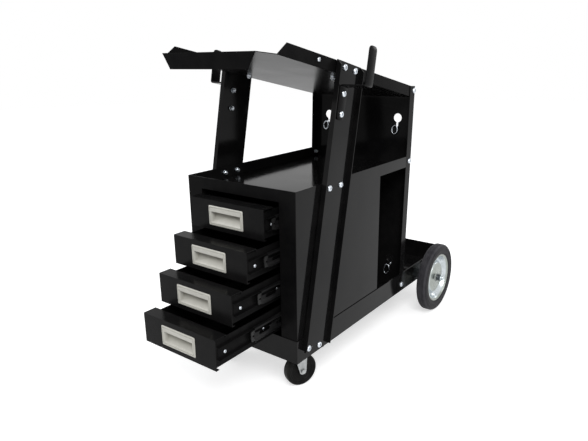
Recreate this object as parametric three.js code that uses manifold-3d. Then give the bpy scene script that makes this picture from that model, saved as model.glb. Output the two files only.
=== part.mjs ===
// Welding cart of folded sheet steel: a base tray on two swivel casters and two large wheels, a cabinet with
// four drawers on telescopic slides, a shelf over it, a sloping top tray on two leaning posts with a hook on
// each post, and a bay for a gas cylinder behind a rear panel with keyholes and chains.
// Millimetres, +Z up, the drawers face -Y. The origin is on the ground under the middle of the bounding box.

import * as THREE from "three";
import { mergeVertices } from "three/addons/utils/BufferGeometryUtils.js";
import Module from "manifold-3d";

// Sheet metal and clearances
const CART_WIDTH = 320;
const SHEET = 1.5;
const GAP = 0.3; // between pieces that touch
const SEAM = 2; // how far plates of one folded piece run into each other

// Base tray
const BASE_LENGTH = 800;
const BASE_FLANGE = 55;

// Cabinet and shelf
const CABINET_RISE = 338; // from the top of the base tray to the shelf's rim
const CABINET_DEPTH = 359;
const SHELF_DEPTH = 25; // from the rim down to the shelf
const SHELF_FLANGE = 23;
const RIM_STRIP = 29; // the side sheet that runs on beside the shelf
const TOP_RAIL = 27;
const OPENING_WIDTH = 230;
const SILL_DROP = 2; // sill of the drawer opening below the top of the base tray
const BACK_INSET = 10;

// Drawers, from the top one down, pulled out in steps
const DRAWER_OPEN = [40, 97, 146, 196];
const DRAWER_HEADROOM = 9; // highest front below the top of the opening
const FRONT_INSET = 7; // sides of a front inside the opening
const FRONT_SPACE = 8; // between two fronts
const FRONT_LIFT = 6; // lowest front above the base tray
const FRONT_FOLD = 32; // depth of the fold along the top of a front
const FRONT_FOLD_LIP = 6;
const FRONT_RETURN = 8;
const BOX_LIFT = 3; // drawer bottom above the lower edge of its front
const BOX_LENGTH = 328;

// Drawer pulls
const PULL_WIDTH = 101;
const PULL_HEIGHT = 45;
const PULL_DROP = 12; // below the top of the front
const PULL_PROUD = 2;
const PULL_RIM = 5; // rim that laps over the front
const PULL_FRAME = 7.5; // rim to pocket at the ends
const PULL_POCKET_DROP = 14; // pocket below the top of the pull
const PULL_POCKET_HEIGHT = 24;
const PULL_DEPTH = 13;
const PULL_WALL = 1.5;

// Telescopic slides
const SLIDE_LENGTH = 300;
const SLIDE_SETBACK = 12; // slide ends behind the front of a closed drawer
const SLIDE_SPACE = 13; // between a drawer and the cabinet liner
const SLIDE_STEEL = 1.2;
const SLIDE_PLAY = 0.5;
const SLIDE_INNER_HEIGHT = 29;
const SLIDE_INNER_LIP = 7;
const SLIDE_MIDDLE_WEB = 9; // from the drawer side to the middle member's web
const SLIDE_MIDDLE_LIP = 6.5;
const SLIDE_OUTER_LIP = 7;

// Rear panel
const PANEL_Y = 516; // back face at the floor of the base tray
const PANEL_HEIGHT = 577;
const PANEL_FLANGE = 26;
const PANEL_LEAN = THREE.MathUtils.degToRad(2);
const KEYHOLE_X = 113;
const KEYHOLE_HEIGHTS = [491, 86];
const KEYHOLE_RADIUS = 12;
const KEYHOLE_SLOT = 7;
const KEYHOLE_DROP = 20; // from the round hole to the end of the slot

// Posts and top tray
const POST_Y = 143; // post axis where it crosses the shelf bolts
const POST_BOLT_DROP = 14; // shelf bolts below the rim
const POST_WIDTH = 97;
const POST_FLANGE = 12;
const POST_CHAMFER = 16; // flanges cut off at the top of a post
const POST_SHEET = 2;
const POST_LEAN = THREE.MathUtils.degToRad(12);
const POST_BELOW = 370; // from the shelf bolts to the foot, along the post
const POST_TAB = 9; // web below the flanges at the foot
const POST_TAB_INSET = 12;
const TRAY_RISE = 241; // from the shelf bolts to the tray, along the post
const TRAY_PITCH = THREE.MathUtils.degToRad(11);
const TRAY_FRONT = 271; // from the post axis to the front edge, along the tray
const TRAY_FLANGE = 27;
const TRAY_CORNER = 28;
const TRAY_LIP = 32;
const TRAY_LIP_TAPER = 21;

// Hooks
const HOOK_Y = -16; // from the post axis
const HOOK_WIDTH = 30;
const HOOK_STEEL = 3;
const HOOK_FOOT = 145; // above the shelf bolts, along the post
const HOOK_SEAT = 219;
const HOOK_TIP = 300;
const HOOK_REACH = 66; // from the side of the cart to the outside of the hook

// Rear wheels
const WHEEL_DIA = 203;
const TYRE_WIDTH = 30;
const TYRE_SHOULDER = 9; // radius between tread and sidewall
const TYRE_BEAD = 3;
const RIM_DIA = 144;
const RIM_WIDTH = 26;
const RIM_LIP = 4;
const RIM_WELL = 8; // depth of the rim's channel
const DISC_HALF = 3; // half the thickness of the wheel's disc
const HUB_DIA = 26;
const HUB_LENGTH = 40;
const WHEEL_STANDOFF = 28; // between the base tray and the tyre
const AXLE_DIA = 12;
const AXLE_Y = 640;
const AXLE_LIFT = 1; // between the floor of the base tray and the axle
const AXLE_END = 6; // axle past the hub
const AXLE_CAP_DIA = 22;
const AXLE_CAP_TIP = 2.5;

// Casters
const CASTER_X = 110;
const CASTER_Y = 38;
const CASTER_TURN = THREE.MathUtils.degToRad(23);
const CASTER_DIA = 80;
const CASTER_WIDTH = 22;
const CASTER_HUB = 24; // length of the hub
const CASTER_HUB_DIA = 20;
const CASTER_DISC_HALF = 7; // half the thickness of the wheel's disc
const CASTER_TYRE = 10; // depth of the tyre
const CASTER_SHOULDER = 3;
const CASTER_TRAIL = 26;
const CASTER_PLATE = 62;
const CASTER_STEEL = 2.5;
const CASTER_ROOM = 2; // between the wheel and the fork's crown
const CASTER_LEG_PLAY = 0.6;
const CASTER_TIP_RADIUS = 9;
const CASTER_CROWN_FRONT = 18; // crown ahead of the swivel axis
const CASTER_CROWN_REAR = 38;
const CASTER_LEG_FRONT = 4; // front edge of a leg at the crown, behind the swivel axis
const CASTER_CUP_DIA = 36;
const CASTER_PIN_DIA = 6;
const CASTER_PIN_HEAD = 11;
const CASTER_PIN_HEAD_LENGTH = 4;

// Chains
const CHAIN_DIA = 5.6;
const CHAIN_STANDOFF = 9; // chain behind the panel
const CHAIN_END = 9; // chain end ahead of the panel's back face
const CHAIN_SAG = 41; // parameter of the hanging curve
const CHAIN_POINTS = 14; // points along half of the hanging curve
const CHAIN_STEPS = 44;
const CHAIN_FALL = [0, 18]; // drop to the floor behind the panel: sideways, away from the panel
const CHAIN_LAY = [[-115, 34], [-117, 68], [-88, 98], [-50, 90], [-22, 62], [0, 52]]; // on the floor of the tray
const RING_RADIUS = 10;
const RING_WIRE = 1.6;

// Facets
const ARC_STEPS = 8;
const WHEEL_STEPS = 36;
const CASTER_STEPS = 24;
const SMALL_STEPS = 16;
const RING_STEPS = [6, 12];

// Places that follow from the sizes
const HALF_WIDTH = CART_WIDTH / 2;
const AXLE_Z = WHEEL_DIA / 2;
const FLOOR_TOP = AXLE_Z - AXLE_DIA / 2 - AXLE_LIFT;
const BASE_BOTTOM = FLOOR_TOP - SHEET;
const BASE_TOP = BASE_BOTTOM + BASE_FLANGE;
const RIM_TOP = BASE_TOP + CABINET_RISE;
const SHELL_HALF = HALF_WIDTH - SHEET - GAP; // cabinet and rear panel stand inside the base tray
const TRAY_HALF = SHELL_HALF - SHEET - GAP; // shelf and top tray lie inside cabinet and panel
const FRAME_FRONT = SHEET + GAP;
const FRAME_BACK = FRAME_FRONT + SHEET;
const SHELF_TOP = RIM_TOP - SHELF_DEPTH;
const SHELF_BOTTOM = SHELF_TOP - SHEET;
const OPENING_TOP = RIM_TOP - TOP_RAIL;
const OPENING_HALF = OPENING_WIDTH / 2;
const SILL = BASE_TOP - SILL_DROP;
const BACK_FRONT = CABINET_DEPTH - BACK_INSET - SHEET;
const FRONTS_HEIGHT = OPENING_TOP - DRAWER_HEADROOM - BASE_TOP - FRONT_LIFT;
const DRAWER_PITCH = (FRONTS_HEIGHT + FRONT_SPACE) / DRAWER_OPEN.length;
const FRONT_HEIGHT = DRAWER_PITCH - FRONT_SPACE;
const BOX_HALF = OPENING_HALF - SLIDE_SPACE;
const FRONT_HALF = OPENING_HALF - FRONT_INSET;
const PANEL_Z = FLOOR_TOP + GAP;
const POST_Z = RIM_TOP - POST_BOLT_DROP;
const POST_INNER = HALF_WIDTH + GAP;
const TRAY_Y = POST_Y + TRAY_RISE * Math.sin(POST_LEAN);
const TRAY_Z = POST_Z + TRAY_RISE * Math.cos(POST_LEAN);
const WHEEL_MIDDLE = HALF_WIDTH + WHEEL_STANDOFF + TYRE_WIDTH / 2;
const HUB_OUTER = WHEEL_MIDDLE + HUB_LENGTH / 2;

const SIDES = [["left", -1], ["right", 1]];
const X = new THREE.Vector3(1, 0, 0);
const Y = new THREE.Vector3(0, 1, 0);
const Z = new THREE.Vector3(0, 0, 1);

const wasm = await Module();
wasm.setup();

const paint = (color, roughness, metalness) => new THREE.MeshStandardMaterial({ color, roughness, metalness });
const black = paint(0x141416, 0.25, 0);
const slideBlack = paint(0x1c1b1c, 0.4, 0.4);
const zinc = paint(0xb9bcc0, 0.35, 1);
const rubber = paint(0x26262a, 0.8, 0);
const paleGrey = paint(0xc9c8c0, 0.5, 0);

// Two ends of a span, the lower one first.
const span = (a, b) => [Math.min(a, b), Math.max(a, b)];

// A closed geometry as a solid that can be joined and cut.
function toSolid(geometry) {
  const bare = new THREE.BufferGeometry();
  const flat = geometry.index ? geometry.toNonIndexed() : geometry;
  bare.setAttribute("position", flat.getAttribute("position"));
  const merged = mergeVertices(bare, 1e-4);
  const corners = merged.index.array;
  const kept = [];
  for (let i = 0; i < corners.length; i += 3) {
    const [a, b, c] = [corners[i], corners[i + 1], corners[i + 2]];
    if (a !== b && b !== c && c !== a) kept.push(a, b, c);
  }
  const mesh = new wasm.Mesh({
    numProp: 3,
    vertProperties: merged.attributes.position.array,
    triVerts: new Uint32Array(kept),
  });
  return new wasm.Manifold(mesh);
}

function toGeometry(solid) {
  const mesh = solid.getMesh();
  const position = new Float32Array(mesh.numVert * 3);
  for (let i = 0; i < mesh.numVert; i++) {
    const start = i * mesh.numProp;
    position.set(mesh.vertProperties.subarray(start, start + 3), i * 3);
  }
  const geometry = new THREE.BufferGeometry();
  geometry.setAttribute("position", new THREE.BufferAttribute(position, 3));
  geometry.setIndex(new THREE.BufferAttribute(mesh.triVerts, 1));
  geometry.computeVertexNormals();
  return geometry;
}

function join(...geometries) {
  return toGeometry(geometries.map(toSolid).reduce((whole, solid) => whole.add(solid)));
}

function cut(body, ...tools) {
  return toGeometry(tools.map(toSolid).reduce((whole, solid) => whole.subtract(solid), toSolid(body)));
}

function block([x0, x1], [y0, y1], [z0, z1]) {
  const geometry = new THREE.BoxGeometry(x1 - x0, y1 - y0, z1 - z0);
  return geometry.translate((x0 + x1) / 2, (y0 + y1) / 2, (z0 + z1) / 2);
}

const outline = (points) => new THREE.Shape(points.map(([a, b]) => new THREE.Vector2(a, b)));

function circle([a, b], radius) {
  return new THREE.Shape().absarc(a, b, radius, 0, 2 * Math.PI);
}

// A shape drawn in the plane across an axis, pushed along that axis: y-z for x, x-z for y, x-y for z.
function extrude(shape, axis, [from, to], curveSegments = ARC_STEPS) {
  const settings = { depth: to - from, bevelEnabled: false, curveSegments };
  const geometry = new THREE.ExtrudeGeometry(shape, settings);
  const turns = {
    x: new THREE.Matrix4().makeBasis(Y, Z, X).setPosition(from, 0, 0),
    y: new THREE.Matrix4().makeBasis(X, Z, Y.clone().negate()).setPosition(0, to, 0),
    z: new THREE.Matrix4().setPosition(0, 0, from),
  };
  return geometry.applyMatrix4(turns[axis]);
}

// A profile of [radius, distance along x] corners, anticlockwise, turned about the x axis.
function turned(profile, steps) {
  const points = [...profile, profile[0]].map(([radius, along]) => new THREE.Vector2(radius, along));
  return new THREE.LatheGeometry(points, steps).rotateZ(-Math.PI / 2);
}

function add(parent, name, geometry, material) {
  const mesh = new THREE.Mesh(geometry, material);
  mesh.name = name;
  parent.add(mesh);
  return mesh;
}

function group(parent, x, y, z) {
  const made = new THREE.Group();
  made.position.set(x, y, z);
  parent.add(made);
  return made;
}

// How far back the rear panel's front face, or the front edge of its flanges, stands at a height.
function panelAt(height, ahead) {
  const rise = height - PANEL_Z - ahead * Math.sin(PANEL_LEAN);
  return PANEL_Y - ahead * Math.cos(PANEL_LEAN) + rise * Math.tan(PANEL_LEAN);
}

// Tray with upright flanges all round and a hole on each side for the axle.
function baseTray(cart) {
  const outside = block([-HALF_WIDTH, HALF_WIDTH], [0, BASE_LENGTH], [BASE_BOTTOM, BASE_TOP]);
  const inner = HALF_WIDTH - SHEET;
  const inside = block([-inner, inner], [SHEET, BASE_LENGTH - SHEET], [FLOOR_TOP, BASE_TOP + SEAM]);
  const hole = extrude(circle([AXLE_Y, AXLE_Z], AXLE_DIA / 2 + GAP), "x", [-CART_WIDTH, CART_WIDTH]);
  add(cart, "base_tray", cut(outside, inside, hole), black);
}

// Side sheets: full height beside the drawers, then only a strip along the shelf to the rear panel.
function cabinetSides(cart) {
  const front = FRAME_BACK + GAP;
  const foot = FLOOR_TOP + GAP;
  const stripEnd = panelAt(RIM_TOP - RIM_STRIP, PANEL_FLANGE) - GAP;
  const shape = outline([
    [front, foot],
    [CABINET_DEPTH, foot],
    [CABINET_DEPTH, RIM_TOP - RIM_STRIP],
    [stripEnd, RIM_TOP - RIM_STRIP],
    [stripEnd, RIM_TOP],
    [front, RIM_TOP],
  ]);
  for (const [name, side] of SIDES) {
    const across = span(side * (SHELL_HALF - SHEET), side * SHELL_HALF);
    add(cart, `cabinet_side_${name}`, extrude(shape, "x", across), black);
  }
}

// Front frame around the drawers, folded back into two liners that carry the slides, and a sheet behind.
function cabinetFrame(cart) {
  const foot = FLOOR_TOP + GAP;
  const face = outline([
    [-SHELL_HALF, foot],
    [SHELL_HALF, foot],
    [SHELL_HALF, RIM_TOP],
    [-SHELL_HALF, RIM_TOP],
  ]);
  face.holes.push(outline([
    [-OPENING_HALF, SILL],
    [-OPENING_HALF, OPENING_TOP],
    [OPENING_HALF, OPENING_TOP],
    [OPENING_HALF, SILL],
  ]));
  const liners = SIDES.map(([, side]) => block(
    span(side * OPENING_HALF, side * (OPENING_HALF + SHEET)),
    [FRAME_FRONT, BACK_FRONT - GAP],
    [SILL, OPENING_TOP],
  ));
  const frame = join(extrude(face, "y", [FRAME_FRONT, FRAME_BACK]), ...liners);
  add(cart, "cabinet_front_frame", frame, black);
  const back = block([-TRAY_HALF, TRAY_HALF], [BACK_FRONT, BACK_FRONT + SHEET], [foot, SHELF_BOTTOM - GAP]);
  add(cart, "cabinet_back", back, black);
}

function shelfTray(cart) {
  const front = FRAME_BACK + GAP;
  const end = panelAt(SHELF_BOTTOM, SHEET) - GAP;
  const floor = block([-TRAY_HALF, TRAY_HALF], [front, end], [SHELF_BOTTOM, SHELF_TOP]);
  const flanges = SIDES.map(([, side]) => block(
    span(side * (TRAY_HALF - SHEET), side * TRAY_HALF),
    [front, end],
    [SHELF_BOTTOM, SHELF_TOP + SHELF_FLANGE],
  ));
  add(cart, "shelf_tray", join(floor, ...flanges), black);
}

// A round hole that runs down into a slot.
function keyhole(x, height) {
  const half = KEYHOLE_SLOT / 2;
  const mouth = Math.asin(half / KEYHOLE_RADIUS);
  const shape = new THREE.Shape();
  shape.absarc(x, height, KEYHOLE_RADIUS, mouth - Math.PI / 2, 1.5 * Math.PI - mouth, false);
  shape.lineTo(x - half, height - KEYHOLE_DROP);
  shape.absarc(x, height - KEYHOLE_DROP, half, Math.PI, 2 * Math.PI, false);
  return extrude(shape, "y", [-PANEL_FLANGE, PANEL_FLANGE]);
}

// Upright sheet with flanges folded forward on both sides and four keyholes for the chains.
function rearPanel(cart) {
  const panel = group(cart, 0, PANEL_Y, PANEL_Z);
  panel.rotation.x = -PANEL_LEAN;
  const sheet = block([-SHELL_HALF, SHELL_HALF], [-SHEET, 0], [0, PANEL_HEIGHT]);
  const flanges = SIDES.map(([, side]) => block(
    span(side * (SHELL_HALF - SHEET), side * SHELL_HALF),
    [-PANEL_FLANGE, 0],
    [0, PANEL_HEIGHT],
  ));
  const holes = KEYHOLE_HEIGHTS.flatMap((height) => SIDES.map(([, side]) => keyhole(side * KEYHOLE_X, height)));
  add(panel, "rear_panel", cut(join(sheet, ...flanges), ...holes), black);
}

// Leaning channel bolted outside the base tray, the shelf and the top tray, with its flanges outward.
function post(cart, name, side) {
  const frame = group(cart, side * POST_INNER, POST_Y, POST_Z);
  frame.rotation.x = -POST_LEAN;
  const half = POST_WIDTH / 2;
  const steel = POST_SHEET;
  const corners = [
    [0, -half],
    [POST_FLANGE, -half],
    [POST_FLANGE, steel - half],
    [steel, steel - half],
    [steel, half - steel],
    [POST_FLANGE, half - steel],
    [POST_FLANGE, half],
    [0, half],
  ];
  const channel = outline(corners.map(([out, along]) => [side * out, along]));
  const top = TRAY_RISE + TRAY_FLANGE;
  const corner = outline([
    [side * steel, top],
    [side * (steel + POST_CHAMFER), top - POST_CHAMFER],
    [side * (steel + POST_CHAMFER), top + POST_CHAMFER],
  ]);
  const tabHalf = half - POST_TAB_INSET;
  const tab = block(span(0, side * steel), [-tabHalf, tabHalf], [-POST_BELOW - POST_TAB, SEAM - POST_BELOW]);
  const full = join(extrude(channel, "z", [-POST_BELOW, top]), tab);
  add(frame, `post_${name}`, cut(full, extrude(corner, "y", [-POST_WIDTH, POST_WIDTH])), black);
  hook(frame, name, side);
}

// Flat bar bent to a J: a foot on the post, a seat outward and an upright tip, both ends round.
function hook(frame, name, side) {
  const low = HOOK_Y - HOOK_WIDTH / 2;
  const high = HOOK_Y + HOOK_WIDTH / 2;
  const radius = HOOK_WIDTH / 2;
  const inner = POST_SHEET + GAP;
  const outer = HOOK_REACH;
  const foot = new THREE.Shape();
  foot.moveTo(high, HOOK_SEAT);
  foot.lineTo(low, HOOK_SEAT);
  foot.lineTo(low, HOOK_FOOT + radius);
  foot.absarc(HOOK_Y, HOOK_FOOT + radius, radius, Math.PI, 2 * Math.PI, false);
  const tip = new THREE.Shape();
  tip.moveTo(low, HOOK_SEAT - HOOK_STEEL);
  tip.lineTo(high, HOOK_SEAT - HOOK_STEEL);
  tip.lineTo(high, HOOK_TIP - radius);
  tip.absarc(HOOK_Y, HOOK_TIP - radius, radius, 0, Math.PI, false);
  const across = (a, b) => span(side * a, side * b);
  const bar = join(
    extrude(foot, "x", across(inner, inner + HOOK_STEEL)),
    block(across(inner, outer), [low, high], [HOOK_SEAT - HOOK_STEEL, HOOK_SEAT]),
    extrude(tip, "x", across(outer - HOOK_STEEL, outer)),
  );
  add(frame, `hook_${name}`, bar, black);
}

// Top tray between the posts: upright side flanges cut off at an angle, cut corners, a lip hanging in front.
function topTray(cart) {
  const tray = group(cart, 0, TRAY_Y, TRAY_Z);
  tray.rotation.x = -TRAY_PITCH;
  const rise = TRAY_FLANGE * Math.cos(TRAY_PITCH);
  const ahead = TRAY_FLANGE * Math.sin(TRAY_PITCH);
  const room = panelAt(TRAY_Z + rise, SHEET) - GAP - TRAY_Y - ahead;
  const end = room / (Math.cos(TRAY_PITCH) + Math.sin(TRAY_PITCH) * Math.tan(PANEL_LEAN));
  const lipHalf = TRAY_HALF - TRAY_CORNER;
  const floor = outline([
    [-TRAY_HALF, end],
    [-TRAY_HALF, TRAY_CORNER - TRAY_FRONT],
    [-lipHalf, -TRAY_FRONT],
    [lipHalf, -TRAY_FRONT],
    [TRAY_HALF, TRAY_CORNER - TRAY_FRONT],
    [TRAY_HALF, end],
  ]);
  const flange = outline([
    [TRAY_CORNER - TRAY_FRONT, 0],
    [end, 0],
    [end, TRAY_FLANGE],
    [TRAY_CORNER - TRAY_FRONT + TRAY_FLANGE, TRAY_FLANGE],
  ]);
  const flanges = SIDES.map(([, side]) => extrude(
    flange,
    "x",
    span(side * (TRAY_HALF - SHEET), side * TRAY_HALF),
  ));
  const lipShape = outline([
    [-lipHalf, 0],
    [TRAY_LIP_TAPER - lipHalf, -TRAY_LIP],
    [lipHalf - TRAY_LIP_TAPER, -TRAY_LIP],
    [lipHalf, 0],
  ]);
  const lip = extrude(lipShape, "y", [0, SHEET]).rotateX(TRAY_PITCH).translate(0, -TRAY_FRONT, SHEET / 2);
  add(tray, "top_tray", join(extrude(floor, "z", [0, SHEET]), ...flanges, lip), black);
}

// A channel that lies along y beside a drawer: web and lips, given by distances out from the drawer side.
function slideMember(side, [from, to], web, lip, height) {
  const lips = [-1, 1].map((up) => block(
    span(side * (BOX_HALF + lip[0]), side * (BOX_HALF + lip[1])),
    [from, to],
    span(up * height / 2, up * (height / 2 - SLIDE_STEEL)),
  ));
  const plate = block(
    span(side * (BOX_HALF + web), side * (BOX_HALF + web + SLIDE_STEEL)),
    [from, to],
    [-height / 2, height / 2],
  );
  return join(plate, ...lips);
}

// Drawer of folded sheet with the inner slide members on its sides, a folded front and a recessed pull.
// Heights are counted from the lower edge of the front, depths from the face of the closed front.
function drawer(cart, number, open) {
  const below = DRAWER_OPEN.length - number;
  const base = BASE_TOP + FRONT_LIFT + below * DRAWER_PITCH;
  const boxTop = FRONT_HEIGHT - FRONT_FOLD_LIP - GAP;
  const slideZ = (BOX_LIFT + boxTop) / 2;
  const along = [SLIDE_SETBACK, SLIDE_SETBACK + SLIDE_LENGTH];
  const moved = group(cart, 0, -open, base);
  const half = group(cart, 0, -open / 2, base + slideZ);
  const fixed = group(cart, 0, 0, base + slideZ);

  const inner = BOX_HALF - SHEET;
  const boxFront = SHEET + GAP;
  const innerFront = SHEET + PULL_DEPTH + GAP;
  const above = boxTop + SEAM;
  const box = cut(
    block([-BOX_HALF, BOX_HALF], [boxFront, BOX_LENGTH], [BOX_LIFT, boxTop]),
    block([-inner, inner], [innerFront + SHEET, BOX_LENGTH - SHEET], [BOX_LIFT + SHEET, above]),
    block([-inner, inner], [0, innerFront], [BOX_LIFT - SEAM, above]),
  );
  const members = SIDES.map(([, side]) => slideMember(
    side,
    along,
    -SLIDE_STEEL / 2,
    [-SLIDE_STEEL / 2, SLIDE_INNER_LIP],
    SLIDE_INNER_HEIGHT,
  ).translate(0, 0, slideZ));
  add(moved, `drawer_box_${number}`, join(box, ...members), black);
  drawerFront(moved, number);
  drawerPull(moved, number);

  const middleHeight = SLIDE_INNER_HEIGHT + 2 * (SLIDE_PLAY + SLIDE_STEEL);
  const outerHeight = middleHeight + 2 * (SLIDE_PLAY + SLIDE_STEEL);
  const middleEnd = SLIDE_MIDDLE_WEB + SLIDE_STEEL;
  const outerWeb = SLIDE_SPACE - GAP - SLIDE_STEEL;
  const outerEnd = SLIDE_SPACE - GAP;
  for (const [name, side] of SIDES) {
    const middle = slideMember(
      side, along, SLIDE_MIDDLE_WEB, [middleEnd - SLIDE_MIDDLE_LIP, middleEnd], middleHeight,
    );
    const outer = slideMember(side, along, outerWeb, [outerEnd - SLIDE_OUTER_LIP, outerEnd], outerHeight);
    add(half, `slide_middle_${name}_${number}`, middle, slideBlack);
    add(fixed, `slide_outer_${name}_${number}`, outer, slideBlack);
  }
}

function drawerFront(moved, number) {
  const profile = outline([
    [0, 0],
    [FRONT_RETURN, 0],
    [FRONT_RETURN, SHEET],
    [SHEET, SHEET],
    [SHEET, FRONT_HEIGHT - SHEET],
    [FRONT_FOLD - SHEET, FRONT_HEIGHT - SHEET],
    [FRONT_FOLD - SHEET, FRONT_HEIGHT - FRONT_FOLD_LIP],
    [FRONT_FOLD, FRONT_HEIGHT - FRONT_FOLD_LIP],
    [FRONT_FOLD, FRONT_HEIGHT],
    [0, FRONT_HEIGHT],
  ]);
  const sheet = extrude(profile, "x", [-FRONT_HALF, FRONT_HALF]);
  const halfWidth = PULL_WIDTH / 2 - PULL_RIM + GAP;
  const top = FRONT_HEIGHT - PULL_DROP - PULL_RIM + GAP;
  const bottom = FRONT_HEIGHT - PULL_DROP - PULL_HEIGHT + PULL_RIM - GAP;
  const window = block([-halfWidth, halfWidth], [-SEAM, SHEET + SEAM], [bottom, top]);
  add(moved, `drawer_front_${number}`, cut(sheet, window), black);
}

function drawerPull(moved, number) {
  const half = PULL_WIDTH / 2;
  const top = FRONT_HEIGHT - PULL_DROP;
  const bottom = top - PULL_HEIGHT;
  const pocketTop = top - PULL_POCKET_DROP;
  const back = SHEET + PULL_DEPTH;
  const rim = block([-half, half], [-PULL_PROUD, -GAP], [bottom, top]);
  const cup = block(
    [PULL_RIM - half, half - PULL_RIM],
    [-PULL_PROUD / 2, back],
    [bottom + PULL_RIM, top - PULL_RIM],
  );
  const pocket = block(
    [PULL_FRAME - half, half - PULL_FRAME],
    [-PULL_PROUD - SEAM, back - PULL_WALL],
    [pocketTop - PULL_POCKET_HEIGHT, pocketTop],
  );
  add(moved, `drawer_pull_${number}`, cut(join(rim, cup), pocket), paleGrey);
}

// One axle through both sides of the base tray, with a spacer, a wheel and a push-on cap at each end.
function rearWheels(cart) {
  const axleBore = AXLE_DIA / 2 + GAP;
  const hub = HUB_DIA / 2;
  const rim = RIM_DIA / 2;
  const bead = rim + GAP;
  const tread = WHEEL_DIA / 2;
  const halfTyre = TYRE_WIDTH / 2;
  const halfRim = RIM_WIDTH / 2;
  const halfHub = HUB_LENGTH / 2;
  const well = rim - RIM_WELL;
  const rimProfile = [
    [axleBore, -halfHub],
    [hub, -halfHub],
    [hub, -DISC_HALF],
    [well - RIM_LIP, -DISC_HALF],
    [well, RIM_LIP - halfRim],
    [rim, -halfRim],
    [rim, halfRim],
    [rim - RIM_LIP, halfRim],
    [well, halfRim - RIM_LIP],
    [well - RIM_LIP, DISC_HALF],
    [hub, DISC_HALF],
    [hub, halfHub],
    [axleBore, halfHub],
  ];
  const bend = TYRE_SHOULDER * (1 - Math.SQRT1_2);
  const halfProfile = [
    [tread, halfTyre - TYRE_SHOULDER],
    [tread - bend, halfTyre - bend],
    [tread - TYRE_SHOULDER, halfTyre],
    [bead + TYRE_BEAD, halfTyre],
    [bead, halfTyre - TYRE_BEAD],
  ];
  const otherHalf = halfProfile.map(([radius, along]) => [radius, -along]).reverse();
  const tyreProfile = [...otherHalf, ...halfProfile];
  const frame = group(cart, 0, AXLE_Y, AXLE_Z);
  const end = HUB_OUTER + AXLE_END;
  const bar = AXLE_DIA / 2;
  add(frame, "axle", turned([[0, -end], [bar, -end], [bar, end], [0, end]], SMALL_STEPS), zinc);
  const capStart = HUB_OUTER + GAP;
  const capEnd = end + GAP;
  const cap = AXLE_CAP_DIA / 2;
  const capProfile = [
    [axleBore, capStart],
    [cap, capStart],
    [cap, capEnd - AXLE_CAP_TIP],
    [axleBore, capEnd + AXLE_CAP_TIP],
    [0, capEnd + AXLE_CAP_TIP],
    [0, capEnd],
    [axleBore, capEnd],
  ];
  const spacerProfile = [
    [axleBore, POST_INNER],
    [hub, POST_INNER],
    [hub, HUB_OUTER - HUB_LENGTH - GAP],
    [axleBore, HUB_OUTER - HUB_LENGTH - GAP],
  ];
  for (const [name, side] of SIDES) {
    const half = group(frame, 0, 0, 0);
    half.rotation.z = side < 0 ? Math.PI : 0;
    const wheel = group(half, WHEEL_MIDDLE, 0, 0);
    add(wheel, `rear_rim_${name}`, turned(rimProfile, WHEEL_STEPS), zinc);
    add(wheel, `rear_tyre_${name}`, turned(tyreProfile, WHEEL_STEPS), rubber);
    add(half, `axle_spacer_${name}`, turned(spacerProfile, SMALL_STEPS), zinc);
    add(half, `axle_cap_${name}`, turned(capProfile, SMALL_STEPS), zinc);
  }
}

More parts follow.
